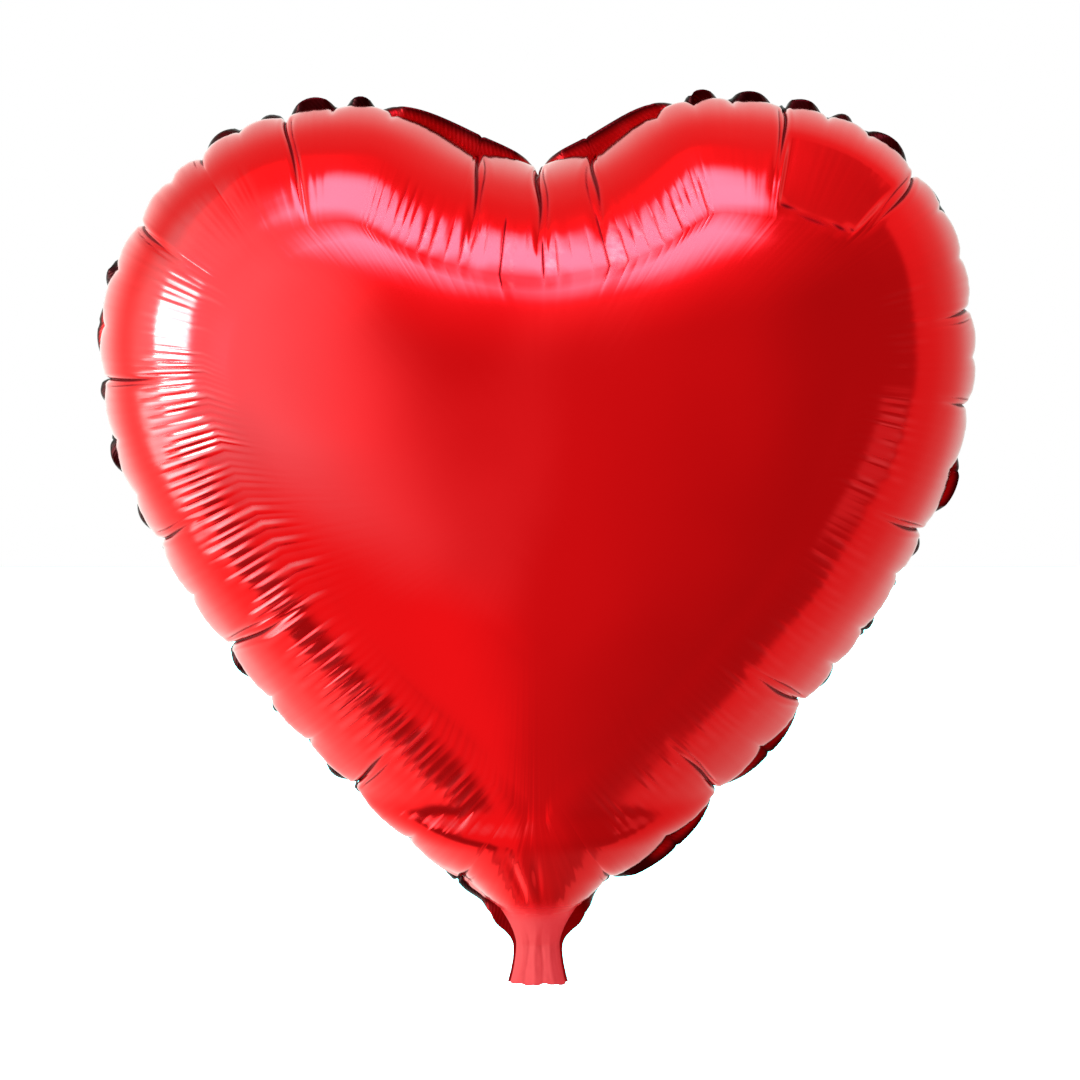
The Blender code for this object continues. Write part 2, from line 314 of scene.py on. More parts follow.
ridges = {
    "height": 0.50 * mm, "spacing": (3.2, 5.6), "tall": (0.55, 1.0),   # spacing in mm; share of the height
    "early": (-4, 7), "late": (-11, 8),                        # how far a ridge's two ends stray, in mm
    # The last is the width of the painted shade line along each ridge valley
    "comb": 0.17 * mm, "line": 0.42 * mm, "shadeLineWidth": 0.6 * mm,
    "count": 400, "from": -0.62,                               # enough to pass all round, from left of the tail
}


# Arches, sin^1.1 of the way between two valleys, or a comb of sharp lines, exp(-distance from the valley / line).
# Also returns painted shade in the valleys and a painted highlight on the crests
def ridgeField(share, inPlane, seed, zones):
    rng = np.random.default_rng(seed)
    places = share * halfLength
    valleys = np.cumsum(rng.uniform(*ridges["spacing"], ridges["count"])) * mm + ridges["from"]
    k = np.clip(np.searchsorted(valleys, places) - 1, 0, len(valleys) - 2)
    part = (places - valleys[k]) / (valleys[k + 1] - valleys[k])
    arch = np.sin(math.pi * part)
    off = np.minimum(places - valleys[k], valleys[k + 1] - places)
    nearest = np.where(part < 0.5, k, k + 1)
    tall = rng.uniform(*ridges["tall"], len(valleys) + 1)
    early = rng.uniform(*ridges["early"], len(valleys) + 1) * mm
    late = rng.uniform(*ridges["late"], len(valleys) + 1) * mm
    height, window, pinched, pale = (np.zeros_like(inPlane) for _ in range(4))
    for start, end, strength, near, far, comb in zones:
        zone = plateau(start - 0.008, start + 0.012, end - 0.012, end + 0.008, share) * strength
        faint = 0.12 * plateau(4 * mm, 9 * mm, far * mm, (far + 14) * mm, inPlane)
        shown = []
        for which in (k, nearest):
            a, b = near * mm + early[which], far * mm + late[which]
            body = plateau(a, a + 7 * mm, b - 10 * mm, b, inPlane)
            shown.append(np.maximum(body, faint) * tall[which])
        onArch, onLine = shown
        wave = ridges["height"] * arch ** 1.1 * onArch
        lines = 0.25 * wave - ridges["comb"] * np.exp(-off / ridges["line"]) * onLine
        height += zone * ((1 - comb) * wave + comb * lines)
        window = np.maximum(window, zone * onArch)
        # Painted shade along each ridge valley, as a line in a comb and wider under an arch
        paintedShade = np.exp(-off / ridges["shadeLineWidth"]) * (comb * 0.85 * onLine + (1 - comb) * 0.72 * onArch)
        pinched = np.maximum(pinched, zone * paintedShade)
        # Painted highlight: a pale mark along each arch's crest
        pale = np.maximum(pale, zone * (1 - comb) * arch ** 3 * onArch)
    return height, window, pinched, pale


# The films

film = {
    "halfDepth": rearHigh.y - 0.4 * mm,
    "roll": 50 * mm,         # width of the rolled side, seam to shoulder
    "faceCentre": 205 * mm,
    "soften": 20 * mm,       # how widely the middle of the face is evened out
    "rollRows": 29,
    "bandRows": 5,           # rows just inside the shoulder, where the ridges end
    "bandShare": 0.17,
    "faceRows": (7, 6, 6),   # then rows with half, a quarter and an eighth of the columns
    "sideRound": (3.0, 0.50),   # powers of the rolled side round the lobes
    "tipRound": (2.2, 0.80),    # and near the tail, where the sides come in flatter
    "tipShares": (0.50, 0.97),
    "over": {-1: 1.5 * mm, 1: 0.3 * mm},   # how far each film bulges out past the seam between pleats
    "waves": ((0.35, 95, 20, 60), (0.07, 34, 10, 40)),   # height, size, from and to distance in mm
    "tailRows": 44,
    "tailDepth": 4.0 * mm,
    "rootDepth": 17.5 * mm,
    "neckSlope": 0.62,
    "neckFade": (30 * mm, 75 * mm),
    "join": 8,               # power that joins the face and the neck: the higher, the sharper
    "hazeFade": (-6 * mm, 8 * mm),   # the tail's dull finish gives way to the bright one, from the root
    "waistHalf": 9.6 * mm,
    "mouthHalf": 12.4 * mm,
}


def tailHalfWidth(z):  # between the tail's welds: a power curve from root to waist, another out to the mouth
    rise = np.clip(z / heart["root"], 0, 1)
    drop = np.clip(z / tailLow.z, 0, 1.1)
    narrowing = (heart["rootHalf"] - film["waistHalf"]) * rise ** 1.6
    return film["waistHalf"] + narrowing + (film["mouthHalf"] - film["waistHalf"]) * drop ** 1.8


def neckDepth(x, z):  # flat tube opening into a cone that dies out in the heart: D (1 - (x / half width)^2)^0.6
    lower = rightCurve[sum(heart["arcSamples"][:2]):][::-1]
    width = np.where(z < heart["root"], tailHalfWidth(z), np.interp(z, lower.imag, lower.real))
    above = np.maximum(z - heart["root"], 0)
    rise = np.clip(z / heart["root"], 0, 1)
    widening = (film["rootDepth"] - film["tailDepth"]) * rise ** 1.05
    deep = film["tailDepth"] + widening + film["neckSlope"] * above
    return deep * np.clip(1 - (x / width) ** 2, 0, 1) ** 0.6 * (1 - smoothStep(*film["neckFade"], above))


def filmRows():  # seam to crown: distance over the roll, share of the way in past it, step between columns
    rows = [(film["roll"] * (i / film["rollRows"]) ** 1.9, 0.0, 1) for i in range(film["rollRows"] + 1)]
    rows += [(0.0, film["bandShare"] * (i + 1) / film["bandRows"], 1) for i in range(film["bandRows"])]
    start = film["bandShare"]
    for count, end, step in zip(film["faceRows"], (0.48, 0.76, 0.97), (2, 4, 8)):
        rows += [(0.0, start + (end - start) * (i + 1) / count, step) for i in range(count)]
        start = end
    return rows


# The depth averaged over a round patch that widens away from the seam: it is laid on a square grid with the
# surface it stands for, both are blurred by four bells, and each point mixes the two nearest to its own width
def softened(plane, inPlane, depth):
    cell, edge = 2.5 * mm, 60 * mm
    across = (plane.real - plane.real.min() + edge) / cell
    up = (plane.imag - plane.imag.min() + edge) / cell
    shape = (int(up.max() + edge / cell), int(across.max() + edge / cell))
    alongRows = np.gradient(plane, axis=0)
    alongColumns = np.roll(plane, -1, axis=1) - np.roll(plane, 1, axis=1)
    area = np.abs((alongRows.conj() * alongColumns).imag)
    i, j = np.floor(up).astype(int), np.floor(across).astype(int)
    corners = []
    for stepUp in (0, 1):
        for stepAcross in (0, 1):
            share = np.abs(1 - stepUp - (up - i)) * np.abs(1 - stepAcross - (across - j))
            corners.append(((i + stepUp) * shape[1] + j + stepAcross, share))
    maps = []
    for carried in (area * depth, area):
        total = np.zeros(shape[0] * shape[1])
        for at, share in corners:
            total += np.bincount(at.ravel(), (share * carried).ravel(), len(total))
        maps.append(np.fft.rfft2(total.reshape(shape)))
    pitch = np.hypot(np.fft.fftfreq(shape[0], cell)[:, None], np.fft.rfftfreq(shape[1], cell)[None, :])
    spread = np.clip(0.42 * (inPlane - 6 * mm), 0, film["soften"])
    result, previous = depth, 0.0
    for wide in (4 * mm, 8 * mm, 13 * mm, film["soften"]):
        blur = np.exp(-2 * (math.pi * wide * pitch) ** 2)
        weight, count = [np.fft.irfft2(m * blur, shape).ravel() for m in maps]
        level = sum(share * weight[at] for at, share in corners)
        level = level / sum(share * count[at] for at, share in corners)
        part = np.clip((spread ** 2 - previous ** 2) / (wide ** 2 - previous ** 2), 0, 1)
        result = result * (1 - part) + level * part
        previous = wide
    return result


# Depth = D (1 - u^p)^q, with u from 1 at the seam to 0 at the middle of the face. It is softened and joined
# with the neck as (face^n + neck^n)^(1/n). Pleats, ridges and lumps stand on it along its normal
def filmSurface(side, seed, zones):
    rows = filmRows()
    centre = complex(0.0, film["faceCentre"])
    shoulder = outline + inward * film["roll"]
    reach = pick(np.abs(shoulder - centre), columnPlaces).real + film["roll"]
    plane, inPlane = [], []
    for roll, face, _ in rows:
        if face == 0.0:
            plane.append(pick(outline + inward * roll, columnPlaces))
            inPlane.append(roll + 0 * reach)
        else:
            ring = pick(blurred(shoulder, 60 * mm * face), columnPlaces)
            plane.append(centre + (1 - face) * (ring - centre))
            inPlane.append(film["roll"] + (reach - film["roll"]) * face)
    plane, inPlane = np.array(plane), np.array(inPlane)
    x, z = plane.real, plane.imag
    tip = smoothStep(*film["tipShares"], np.abs(columnShares))
    p = film["sideRound"][0] * (1 - tip) + film["tipRound"][0] * tip
    q = film["sideRound"][1] * (1 - tip) + film["tipRound"][1] * tip
    u = 1 - inPlane / reach
    depth = film["halfDepth"] * (1 - u ** p) ** q
    n = film["join"]
    depth = (softened(plane, inPlane, depth) ** n + neckDepth(x, z) ** n) ** (1 / n)
    base = np.stack([x, side * depth, z], axis=-1)

    acrossColumns = np.roll(base, -1, axis=1) - np.roll(base, 1, axis=1)
    acrossRows = np.gradient(base, axis=0)
    normal = np.cross(acrossRows, acrossColumns) * -side
    normal /= np.linalg.norm(normal, axis=-1, keepdims=True)
    normal[0, :, 1] = 0.0
    steps = np.linalg.norm(np.diff(base, axis=0), axis=-1)
    away = np.concatenate([np.zeros((1, columnCount)), np.cumsum(steps, axis=0)])
    share = np.broadcast_to(columnShares, away.shape)

    nearRoot = 1 - smoothStep(0.960, 0.995, np.abs(share)) * np.exp(-(away / (30 * mm)) ** 2)
    # The crease values carry painted shade: dark lines down the pleat grooves, the ridge valleys and the dent's
    # lower edge; pale is a painted highlight on ridge crests
    folds, creaseShade = pleatField(share, away, seed)
    creaseShade *= nearRoot
    ridged, gather, pinched, pale = ridgeField(share, inPlane, seed + 1, zones)
    creaseShade = np.maximum(creaseShade, pinched)
    height = folds * nearRoot + ridged
    height += 0.10 * mm * np.sin(wander(share * halfLength, 2.3 * mm, seed + 2) * 3) * np.exp(-away / (30 * mm))
    for k, (high, size, near, far) in enumerate(film["waves"]):
        height += high * mm * lumps(x, z, size * mm, seed + 3 + k) * smoothStep(near * mm, far * mm, away)
    if side < 0:
        sunk, edge = dentField(share, inPlane)
        height += sunk
        # Painted shade along the dent's lower edge
        creaseShade = np.maximum(creaseShade, edge)
        height += tipFold(x, z)
    points = base + normal * height[..., None]
    out = pick(inward, columnPlaces) * -film["over"][side] * petals(columnShares, allStops, 0.6)
    swell = away / (5 * mm) * np.exp(1 - away / (5 * mm)) * nearRoot
    points[..., 0] += out.real * swell
    points[..., 2] += out.imag * swell
    points[..., 1] += seamSway(columnShares) * np.exp(-away / (18 * mm))
    gather = np.maximum(gather, 0.35 * np.exp(-away / (22 * mm)))
    return rows, points, creaseShade, gather, pale, away


teardrop = {"x": -5 * mm, "z": 35 * mm, "long": 11 * mm, "wide": 2.4 * mm, "lean": 0.23, "high": 0.9 * mm}


def tipFold(x, z):  # a small teardrop fold just left of the point of the face: a bell with a moat round it
    t = teardrop
    along = (z - t["z"]) / t["long"]
    across = (x - t["x"] + t["lean"] * (z - t["z"])) / (t["wide"] * (1.15 + 0.3 * np.clip(along, -1, 1)))
    moat = 0.7 * np.exp(-(np.abs(across) - 1.7) ** 2 * 2.5)
    return t["high"] * np.exp(-along ** 2) * (np.exp(-across ** 2) - moat)


def seamSway(share):  # the seam wanders a little off its plane, except by the tail
    return 0.9 * mm * wander(share * halfLength, 21 * mm, 77) * (1 - smoothStep(0.90, 0.98, np.abs(share)))


dent = {"from": 0.200, "to": 0.309, "near": 12 * mm, "far": 46 * mm, "deep": 3.0 * mm}


def dentField(share, inPlane):  # a flattened facet on the right lobe, with a sharp lower edge and a line of painted shade along it
    across = np.clip((share - dent["from"]) / (dent["to"] - dent["from"]), 0, 1)
    edge = dent["far"] - 5 * mm * (2 * across - 0.9) ** 2
    sides = plateau(0.0, 0.05, 0.93, 1.0, across)
    part = np.clip((inPlane - dent["near"]) / (edge - dent["near"]), 0, 1.2)
    chord = np.maximum(4 * part * (1.15 - part) / 1.32, 0)   # a parabola, deepest half way
    sunk = -dent["deep"] * sides * chord * (1 - smoothStep(0.98, 1.06, part))
    return sunk, 0.62 * sides * bell(inPlane - edge, 1.8 * mm)


tailFolds = [  # place across from -1 to 1, drift towards the mouth, width, height in mm
    (0.52, 0.16, 0.10, 1.5), (0.18, 0.05, 0.09, -1.3), (-0.12, -0.06, 0.12, 1.5),
    (-0.42, -0.10, 0.09, -1.2), (-0.70, -0.12, 0.08, 0.9), (0.80, 0.08, 0.07, -0.7),
]


tailLook = {"folds": 0.34, "crumple": 0.07 * mm, "lumps": (8 * mm, 4.5 * mm), "hem": 0.45, "hemRise": 0.7}


def tailSurface(side, seed):  # the neck's depth on a grid below the root, narrowing to the waist and flaring
    across = np.linspace(1, -1, columnsAtRoot + 1)[None, :]
    z = np.linspace(heart["root"], tailLow.z, film["tailRows"] + 1)[1:, None]
    width = tailHalfWidth(z)
    x = across * width
    drop = (heart["root"] - z) / (heart["root"] - tailLow.z)
    y = neckDepth(x, z)
    folds = np.zeros_like(x)
    for at, drift, wide, high in tailFolds:
        at = at + drift * (drop - 0.5) + 0.03 * np.sin(9 * drop + 7 * at)
        folds += high * mm * np.exp(-np.abs((across * -side - at) / wide) ** 1.5)
    loose = (1 - across ** 2) ** 0.5 * smoothStep(0.05, 0.45, drop)
    crumple = lumps(x, z, tailLook["lumps"][0], seed + 1) + 0.5 * lumps(x, z, tailLook["lumps"][1], seed + 2)
    y = y + loose * (tailLook["folds"] * folds + tailLook["crumple"] * crumple)
    hem = 0.8 * np.sin(6.1 * across + 1 + side) + 0.5 * np.sin(15 * across + 2 * side)
    z = z + (tailLook["hem"] * hem - tailLook["hemRise"]) * mm * smoothStep(0.70, 1.0, drop) + 0 * x
    y = np.maximum(y, 0.25 * mm * (1 - across ** 2) ** 0.5)
    return np.stack([x, side * y, z], axis=-1)


def addMesh(name, points, faces, finish, uv, floats=None):  # a piece with its finish, UVs and value attributes
    mesh = bpy.data.meshes.new(name)
    mesh.from_pydata(points, [], faces)
    for label, values in (floats or {}).items():
        mesh.attributes.new(label, "FLOAT", "POINT").data.foreach_set("value", np.asarray(values, np.float32))
    corners = np.zeros(len(mesh.loops), np.int32)
    mesh.loops.foreach_get("vertex_index", corners)
    mesh.uv_layers.new(name="film").data.foreach_set("uv", np.asarray(uv, np.float32)[corners].ravel())
    mesh.materials.append(finish)
    mesh.shade_smooth()
    mesh.validate()
    made = bpy.data.objects.new(name, mesh)
    bpy.context.scene.collection.objects.link(made)
    return made


# One skin: rows from seam to crown, with fewer columns towards the crown, then the tail's grid below them
def makeFilm(name, side, seed, zones, finish):
    rows, points, creaseShade, gather, pale, away = filmSurface(side, seed, zones)
    around = np.broadcast_to(columnShares * halfLength, away.shape)
    carried = np.concatenate([points, np.stack([creaseShade, gather, pale, around, away], -1)], -1)
    blocks, quads, tris, starts, total = [], [], [], [], 0
    for row, (_, _, step) in enumerate(rows):
        blocks.append(carried[row, ::step])
        starts.append(total)
        total += columnCount // step
    for row in range(len(rows) - 1):
        step, after = rows[row][2], rows[row + 1][2]
        here, there, count = starts[row], starts[row + 1], columnCount // after
        k = np.arange(count)
        nextK = (k + 1) % count
        if step == after:
            quads.append(np.stack([here + k, here + nextK, there + nextK, there + k], -1))
        else:  # two columns become one
            a, b, c = here + 2 * k, here + 2 * k + 1, here + (2 * k + 2) % (2 * count)
            tris.append(np.stack([a, b, there + k], -1))
            tris.append(np.stack([b, c, there + nextK], -1))
            tris.append(np.stack([b, there + nextK, there + k], -1))
    count = columnCount // rows[-1][2]
    k = np.arange(count)
    tris.append(np.stack([starts[-1] + k, starts[-1] + (k + 1) % count, np.full(count, total)], -1))
    crownDepth = points[-1, :, 1].mean() + side * 0.02 * mm
    blocks.append([[0.0, crownDepth, film["faceCentre"], 0.0, 0.0, 0.0, 0.0, away[-1].mean()]])
    total += 1

    grid = tailSurface(side, seed + 9)
    tailRows, width = grid.shape[:2]
    plain = np.zeros((tailRows, width))
    across = np.linspace(1, -1, width)[None, :] * heart["rootHalf"] + plain
    down = (grid[:, width // 2, 2] - heart["root"])[:, None] + plain
    values = np.stack([plain, plain + 0.5, plain, across, down], -1)
    blocks.append(np.concatenate([grid, values], -1).reshape(-1, 8))
    edge = rightCorner + np.arange(width)
    ids = np.concatenate([edge[None, :], total + np.arange(tailRows * width).reshape(tailRows, width)])
    quads.append(np.stack([ids[1:, :-1], ids[1:, 1:], ids[:-1, 1:], ids[:-1, :-1]], -1).reshape(-1, 4))

    quads, tris = np.concatenate(quads), np.concatenate(tris)
    if side > 0:
        quads, tris = quads[:, ::-1], tris[:, ::-1]
    body = np.concatenate(blocks)
    fadeFrom, fadeTo = film["hazeFade"]
    haze = 1 - smoothStep(heart["root"] + fadeFrom, heart["root"] + fadeTo, body[:, 2])
    # crease takes painted shade and pale a painted highlight to the finish
    floats = {"creaseShade": body[:, 3], "gather": body[:, 4], "pale": body[:, 5], "haze": haze}
    made = addMesh(name, body[:, :3], quads.tolist() + tris.tolist(), finish, body[:, 6:], floats)
    print(name, "made:", 2 * len(quads) + len(tris), "triangles")
    return made


# The welded margin: a thin ribbon carried up one side of the tail, round the heart and down the other side

margin = {
    "wide": 5.0 * mm, "atTail": 1.5 * mm, "web": 4.8 * mm, "thick": 0.22 * mm, "tailRows": 46, "across": 7,
    "inset": 0.5 * mm, "cleftInset": 2.6 * mm,   # its start inside the seam, more in the cleft
    "flutter": 0.5 * mm, "pinched": 0.9 * mm, "rib": 0.05 * mm, "ribEvery": 1.4 * mm,
    "tucked": math.radians(78),   # how far the margin is folded back where it does not stand out
}
petalsOut = [  # share from, share to, how far it stands out past the film in mm; left of the cleft is negative
    (-0.990, -0.945, 2.2), (-0.862, -0.846, 0.9), (-0.846, -0.819, 2.4), (-0.772, -0.758, 1.9),
    (-0.738, -0.702, 2.8), (-0.618, -0.606, 1.5), (-0.602, -0.566, 2.8), (-0.551, -0.512, 3.5),
    (-0.494, -0.468, 3.0), (-0.462, -0.407, 2.6), (-0.405, -0.376, 3.2), (-0.273, -0.235, 3.0),
    (-0.226, -0.203, 2.2), (-0.200, -0.162, 5.2), (-0.156, -0.133, 4.2), (-0.129, -0.004, 6.6),
    (0.004, 0.116, 6.6), (0.121, 0.148, 4.3), (0.154, 0.190, 4.2), (0.193, 0.228, 4.2),
    (0.234, 0.254, 2.8), (0.260, 0.306, 3.8), (0.310, 0.362, 1.6), (0.514, 0.532, 1.0),
    (0.536, 0.589, 4.6), (0.604, 0.628, 2.6), (0.642, 0.654, 1.6), (0.672, 0.700, 2.4),
    (0.724, 0.754, 2.0), (0.765, 0.857, 3.4), (0.863, 0.974, 5.0),
]
# Where the margin is painted as lit red film instead of painted shade: share, half width
litPetals = [(-0.060, 0.062), (0.055, 0.055), (-0.435, 0.020), (0.560, 0.020), (0.81, 0.035), (0.90, 0.03)]


def petalReach(shares):  # how far the margin stands out: a rounded scallop over each petal, nothing between
    reach = np.full_like(shares, -1.2 * mm)
    for start, end, high in petalsOut:
        part = np.clip((shares - start) / (end - start), 0, 1)
        reach = np.maximum(reach, (high + 1.2) * mm * np.sin(math.pi * part) ** 0.55 - 1.2 * mm)
    return reach


def inCleft(share):  # 1 where the margin stands up between the lobes
    return plateau(-0.133, -0.115, 0.105, 0.120, share)


# A closed flat profile carried along the seam. It leans back by arccos(standing width / whole width), so the
# wider the margin stands out, the less it is folded back
def makeMargin(name, finish):
    m = margin
    z = np.linspace(tailLow.z, heart["root"], m["tailRows"], endpoint=False)
    rightTail = tailHalfWidth(z) + 1j * z
    keep = np.abs(columnShares) <= 1.0
    order = np.argsort(columnShares[keep])[::-1]
    share = columnShares[keep][order][::2]
    seam = pick(outline, columnPlaces[keep][order][::2])
    into = pick(inward, columnPlaces[keep][order][::2])
    height, _ = pleatField(share, np.zeros_like(share), 5)
    follow = 1 - smoothStep(0.960, 0.995, np.abs(share))
    follow = follow * (1 - 0.8 * inCleft(share) * smoothStep(0.0, 0.012, np.abs(share)))
    seam = seam + into * -height * follow
    path = np.concatenate([rightTail, seam, -rightTail[::-1].conj()])
    tailShares = (heart["root"] - z) / halfLength
    shares = np.concatenate([1 + tailShares, share, -1 - tailShares[::-1]])
    heading = np.gradient(path)
    heading /= np.abs(heading)
    window = np.hanning(61)
    longer = np.concatenate([np.full(30, heading[0]), heading, np.full(30, heading[-1])])
    outward = np.convolve(longer, window / window.sum(), mode="valid") * -1j
    outward /= np.abs(outward)

    inside = np.clip(shares, -1, 1)
    tail = smoothStep(0.985, 1.015, np.abs(shares))
    web = bell(np.abs(shares) - 1.004, 0.016)
    shown = petalReach(inside) + film["over"][-1]
    wide = np.maximum(m["wide"] * (1 + 0.08 * wander(shares * halfLength, 13 * mm, 31)), shown)
    lean = np.arccos(np.clip(shown / wide, math.cos(m["tucked"]), 1)) * (1 - tail) * (1 - web)
    wide = wide * (1 - tail) * (1 - web) + m["atTail"] * tail + m["web"] * web
    cleft = inCleft(shares)
    # How pinched the margin is between petals: it sets the flutter, and also painted shade on the edge
    pinchShade = (1 - petals(inside, allStops, 0.6)) * (1 - 0.85 * cleft)
    flutter = m["flutter"] * wander(shares * halfLength, 7 * mm, 33)
    flutter = (flutter + m["pinched"] * pinchShade * np.sign(np.sin(40 * shares))) * (1 - tail)
    # Where the edge is painted lit red: the tail's welds, the web and the listed petals; painted shade elsewhere
    litRed = 0.85 * np.maximum(tail, web)
    for at, half in litPetals:
        litRed = np.maximum(litRed, smoothStep(half + 0.006, half - 0.012, np.abs(shares - at)))

    half = m["thick"] / 2
    t = np.linspace(0, 1, m["across"])
    profile = [(v, half) for v in t] + [(v, -half) for v in t[::-1]]
    sway = seamSway(inside)
    count, ring = len(path), len(profile)
    points, litReds = np.zeros((ring, count, 3)), np.zeros((ring, count))
    for k, (v, off) in enumerate(profile):
        bent = lean * (0.75 + 0.5 * v) * 0.87                 # folded back a little more towards its edge
        inset = m["inset"] + m["cleftInset"] * cleft * (1 - v) ** 2
        stand = path + outward * (wide * v * np.cos(bent) + off * np.sin(bent) - inset)
        ribs = m["rib"] * np.sin(2 * math.pi * shares * halfLength / m["ribEvery"]) * (v > 0.05)
        points[k, :, 0] = stand.real
        points[k, :, 1] = sway + wide * v * np.sin(bent) - off * np.cos(bent) + flutter * v ** 1.5 + ribs
        points[k, :, 2] = stand.imag
        # Towards its outer side the lit red gives way to painted shade
        litReds[k] = litRed * (1 - 0.92 * smoothStep(0.45, 0.85, v) * (1 - tail) * (1 - web))
    k, c = np.meshgrid(np.arange(ring), np.arange(count - 1), indexing="ij")
    nextK = (k + 1) % ring
    here, there = k * count + c, nextK * count + c
    faces = np.stack([here, there, there + 1, here + 1], -1).reshape(-1, 4)
    ends = [[r * count for r in range(ring)], [r * count + count - 1 for r in range(ring)][::-1]]
    along = np.broadcast_to(shares * halfLength, (ring, count))
    aside = np.broadcast_to(np.array([p[0] for p in profile])[:, None] * m["wide"], (ring, count))
    uv = np.stack([along, aside], -1).reshape(-1, 2)
    floats = {"litRed": litReds.ravel(), "pinchShade": np.broadcast_to(pinchShade, (ring, count)).ravel()}
    made = addMesh(name, points.reshape(-1, 3), faces.tolist() + ends, finish, uv, floats)
    print(name, "made")
    return made


# Valve plies: thin clear film inside the tail and in the body

ply = {"thick": 0.10 * mm, "ripple": 0.10 * mm, "columns": 25, "rows": 61}


def makePly(name, node, finish, stick=0.0, seed=0):  # two grids a thickness apart, closed round their rim
    low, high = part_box(node)
    x = np.linspace(low.x, high.x, ply["columns"])[None, :]
    z = np.linspace(low.z - stick, high.z, ply["rows"])[:, None]
    part = (z - low.z) / (high.z - low.z)
    middle = (low.y + high.y) / 2
    edge = 1 - ((2 * x) / (high.x - low.x)) ** 2
    if "flap" in node:  # closed: the two plies lie together, bowing a little towards their free end
        y = middle + ply["ripple"] * lumps(x + 0 * z, z + 0 * x, 14 * mm, seed) * edge
        x = x * (1 - 0.22 * smoothStep(0.75, 1.0, part))
    else:  # bowed with the film round it
        y = middle * (0.35 + 0.65 * edge) + ply["ripple"] * lumps(x + 0 * z, z + 0 * x, 8 * mm, seed) * edge
    x, z = x + 0 * z, z + 0 * x
    rows, columns = x.shape
    front = np.stack([x, y - ply["thick"] / 2, z], -1).reshape(-1, 3)
    back = np.stack([x, y + ply["thick"] / 2, z], -1).reshape(-1, 3)
    ids = np.arange(rows * columns).reshape(rows, columns)
    face = np.stack([ids[:-1, :-1], ids[:-1, 1:], ids[1:, 1:], ids[1:, :-1]], -1).reshape(-1, 4)
    rim = np.concatenate([ids[0, :-1], ids[:-1, -1], ids[-1, :0:-1], ids[:0:-1, 0]])
    after = np.roll(rim, -1)
    far = rows * columns
    sides = np.stack([after, rim, rim + far, after + far], -1)
    faces = np.concatenate([face, face[:, ::-1] + far, sides])
    uv = np.concatenate([np.stack([x, z], -1).reshape(-1, 2)] * 2)
    made = addMesh(name, np.concatenate([front, back]), faces.tolist(), finish, uv)
    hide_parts(node)
    return made


# Finishes

class Wire:  # a socket in a sum: adding, taking away and so on puts in the Math node
    def __init__(self, finish, socket):
        self.finish, self.socket = finish, socket

    def math(self, operation, first, second):
        return self.finish.node("ShaderNodeMath", {"operation": operation}, {0: first, 1: second})

    def __add__(self, other):
        return self.math("ADD", self, other)

    def __radd__(self, other):
        return self.math("ADD", other, self)

    def __sub__(self, other):
        return self.math("SUBTRACT", self, other)

    def __rsub__(self, other):
        return self.math("SUBTRACT", other, self)

    def __mul__(self, other):
        return self.math("MULTIPLY", self, other)

    def __rmul__(self, other):
        return self.math("MULTIPLY", other, self)


class Finish:
    def __init__(self, tree):
        self.tree = tree
        tree.nodes.clear()

    def node(self, kind, settings, sockets, out=0):  # settings first, then each socket's value or link
        made = self.tree.nodes.new(kind)
        for key, value in settings.items():
            setattr(made, key, value)
        for key, value in sockets.items():
            if isinstance(value, Wire):
                self.tree.links.new(value.socket, made.inputs[key])
            else:
                made.inputs[key].default_value = value
        return Wire(self, made.outputs[out]) if len(made.outputs) else made

    def mix(self, amount, first, second):
        return self.node("ShaderNodeMix", {"data_type": "RGBA"}, {0: amount, 6: first, 7: second}, out=2)

    def limit(self, value, low, high):  # 0 at low, 1 at high, straight between
        return self.node("ShaderNodeMapRange", {"clamp": True}, {0: value, 1: low, 2: high, 3: 0.0, 4: 1.0})

    def ease(self, value, low, high):  # 0 at low, 1 at high, 3t^2 - 2t^3 between
        settings = {"clamp": True, "interpolation_type": "SMOOTHSTEP"}
        return self.node("ShaderNodeMapRange", settings, {0: value, 1: low, 2: high, 3: 0.0, 4: 1.0})

    def window(self, value, a, b, c, d):  # rises from 0 to 1 between a and b, and falls back between c and d
        return self.ease(value, a, b) * (1.0 - self.ease(value, c, d))

    def attribute(self, name):
        return self.node("ShaderNodeAttribute", {"attribute_name": name}, {}, out=2)


def newFinish(name):
    material = bpy.data.materials.new(name)
    material.use_nodes = True
    return material, Finish(material.node_tree)


filmLook = {
    "red": (0.800, 0.0012, 0.0026, 1.0),
    "deepRed": (0.750, 0.0006, 0.0018, 1.0),
    # Painted shade colour for crease lines: a dull dark red
    "creaseShadeRed": (0.13, 0.0004, 0.0008, 1.0),
    "hazy": (0.46, 0.0080, 0.0090, 1.0),
    "scuff": (0.86, 0.014, 0.014, 1.0),
    # Painted highlight colour for ridge crests: a paler pink red
    "crestGlint": (0.90, 0.030, 0.034, 1.0),
    "roughness": 0.115,
    "coat": 0.10,
}


